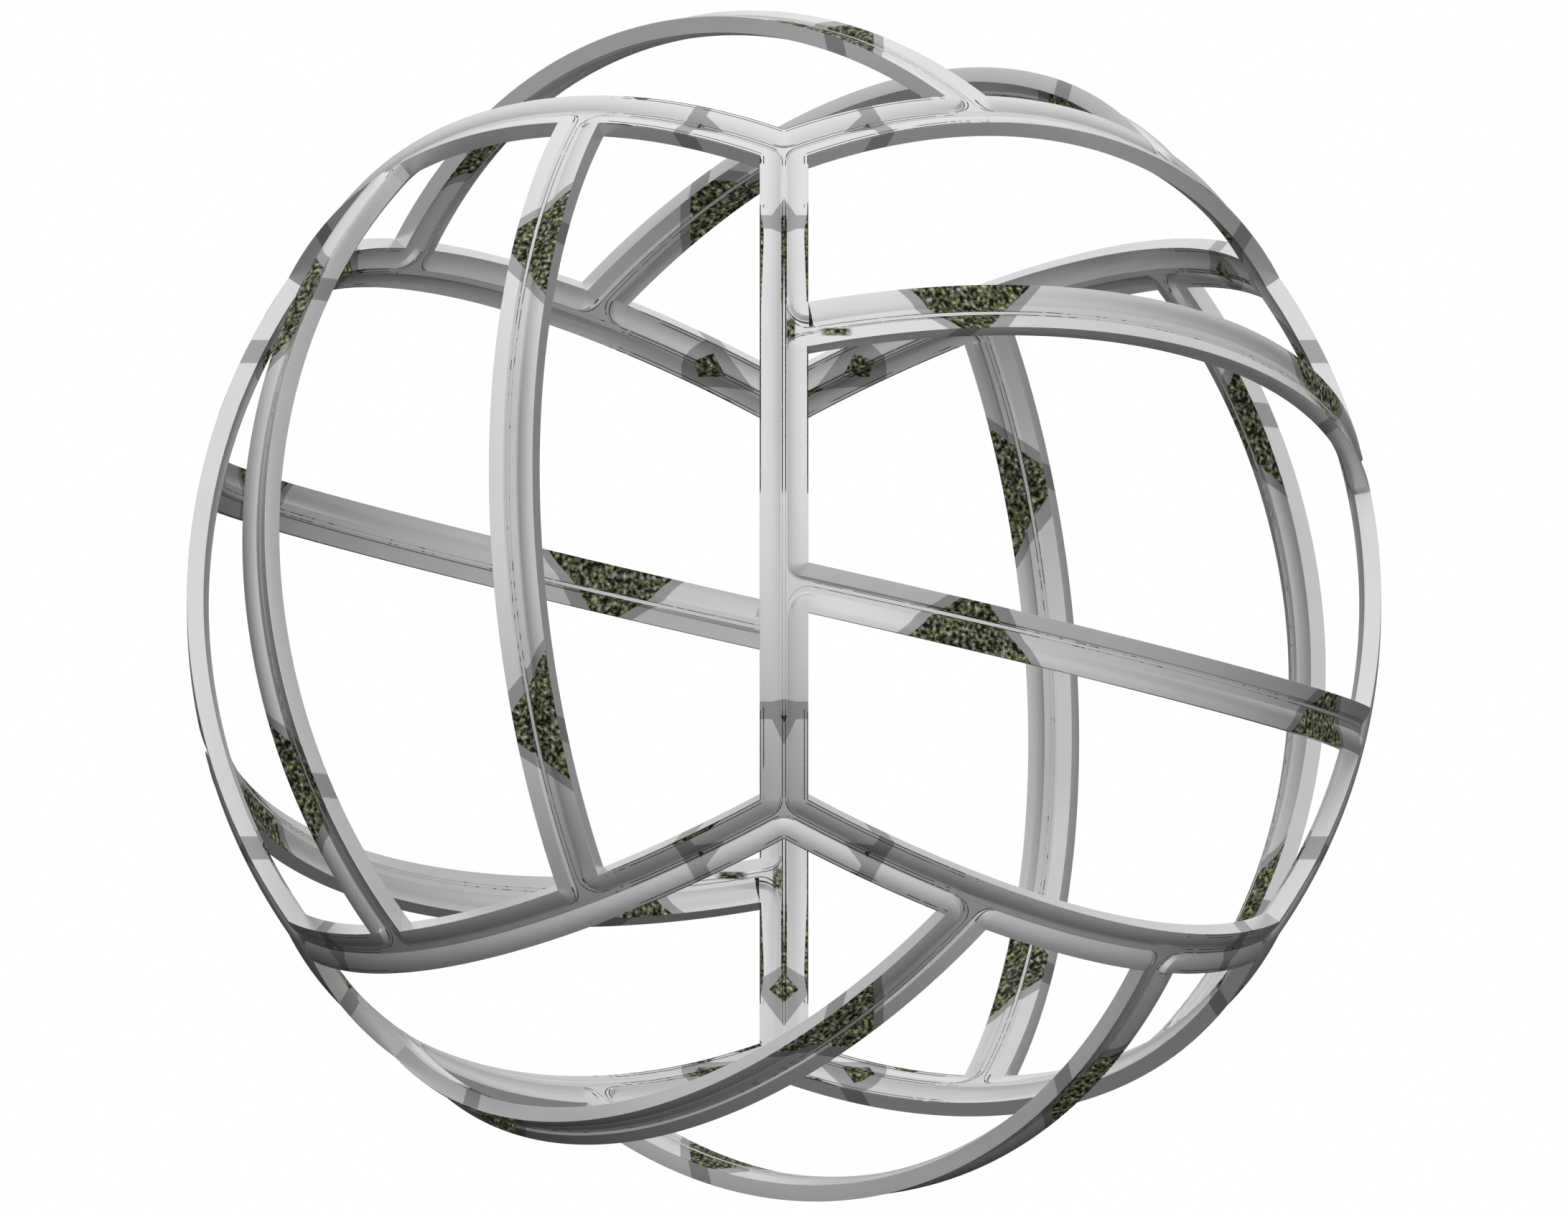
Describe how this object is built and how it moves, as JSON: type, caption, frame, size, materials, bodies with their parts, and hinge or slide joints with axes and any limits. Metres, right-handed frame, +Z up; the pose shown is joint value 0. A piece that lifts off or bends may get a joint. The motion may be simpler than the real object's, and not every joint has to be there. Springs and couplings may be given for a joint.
{
  "type": "climbing globe",
  "caption": "Spherical playground climbing frame of polished steel: crowned window frames meet along seams laid out like a volleyball, round large openings to climb through.",
  "frame": {"origin": "on the ground, straight under the middle of the sphere, where the footing holds it", "axes": "+Z up; -Y towards the front; the cross members of the front and rear sides run along Z, those of the left and right sides along Y, those of the top and bottom along X"},
  "size_m": [1.7356, 1.7356, 1.7356],
  "materials": {
    "frame_steel": "polished, with mottled dark grip patches bordered in matt grey",
    "spine_steel": "satin",
    "star_steel": "satin"
  },
  "bodies": {
    "root": {"corner_star_left_front_bottom": "star_steel", "corner_star_left_front_top": "star_steel", "corner_star_left_rear_bottom": "star_steel", "corner_star_left_rear_top": "star_steel", "corner_star_right_front_bottom": "star_steel", "corner_star_right_front_top": "star_steel", "corner_star_right_rear_bottom": "star_steel", "corner_star_right_rear_top": "star_steel", "cross_spine_bottom_front": "spine_steel", "cross_spine_bottom_rear": "spine_steel", "cross_spine_front_left": "spine_steel", "cross_spine_front_right": "spine_steel", "cross_spine_left_bottom": "spine_steel", "cross_spine_left_top": "spine_steel", "cross_spine_rear_left": "spine_steel", "cross_spine_rear_right": "spine_steel", "cross_spine_right_bottom": "spine_steel", "cross_spine_right_top": "spine_steel", "cross_spine_top_front": "spine_steel", "cross_spine_top_rear": "spine_steel", "edge_spine_bottom_front": "spine_steel", "edge_spine_bottom_rear": "spine_steel", "edge_spine_front_left": "spine_steel", "edge_spine_front_right": "spine_steel", "edge_spine_left_bottom": "spine_steel", "edge_spine_left_top": "spine_steel", "edge_spine_rear_left": "spine_steel", "edge_spine_rear_right": "spine_steel", "edge_spine_right_bottom": "spine_steel", "edge_spine_right_top": "spine_steel", "edge_spine_top_front": "spine_steel", "edge_spine_top_rear": "spine_steel", "middle_frame_bottom": "frame_steel", "middle_frame_front": "frame_steel", "middle_frame_left": "frame_steel", "middle_frame_rear": "frame_steel", "middle_frame_right": "frame_steel", "middle_frame_top": "frame_steel", "side_frame_bottom_front": "frame_steel", "side_frame_bottom_rear": "frame_steel", "side_frame_front_left": "frame_steel", "side_frame_front_right": "frame_steel", "side_frame_left_bottom": "frame_steel", "side_frame_left_top": "frame_steel", "side_frame_rear_left": "frame_steel", "side_frame_rear_right": "frame_steel", "side_frame_right_bottom": "frame_steel", "side_frame_right_top": "frame_steel", "side_frame_top_front": "frame_steel", "side_frame_top_rear": "frame_steel"}
  },
  "joints": []
}
